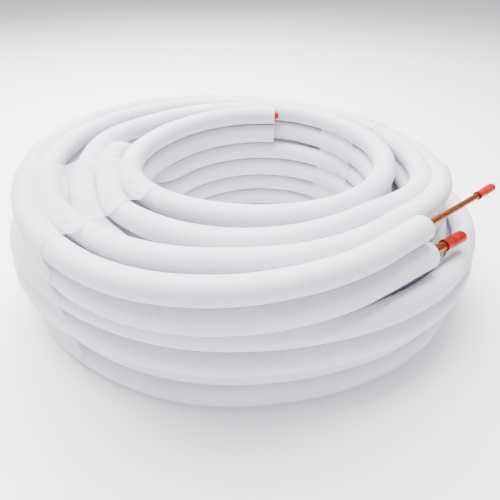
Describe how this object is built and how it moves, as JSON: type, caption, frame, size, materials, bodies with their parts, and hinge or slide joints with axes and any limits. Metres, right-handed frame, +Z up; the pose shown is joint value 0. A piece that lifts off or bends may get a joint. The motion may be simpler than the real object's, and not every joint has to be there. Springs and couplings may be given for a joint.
{
  "type": "mini split line set coil",
  "caption": "Flat-lying coil of twin foam-insulated copper refrigerant lines with capped pipe ends, held by two stretch-film bands.",
  "frame": {"origin": "on the floor, under the middle of the bounding box", "axes": "+Z up, along the axis of the coil; +X to the right and +Y to the back as the picture shows it, with the outer line ends at the front right"},
  "size_m": [0.549, 0.476, 0.163],
  "materials": {
    "insulation_foam": "white polyethylene foam with an embossed skin",
    "copper": "bright drawn copper",
    "red_cap": "smooth moulded red plastic",
    "stretch_film": "clear stretch film"
  },
  "bodies": {
    "root": {"insulated_line_coil": "insulation_foam", "liquid_outer_pipe": "copper", "liquid_outer_cap": "red_cap", "suction_outer_pipe": "copper", "suction_outer_cap": "red_cap", "liquid_inner_pipe": "copper", "liquid_inner_cap": "red_cap", "suction_inner_pipe": "copper", "suction_inner_cap": "red_cap", "film_band_left": "stretch_film", "film_band_back": "stretch_film"}
  },
  "joints": []
}
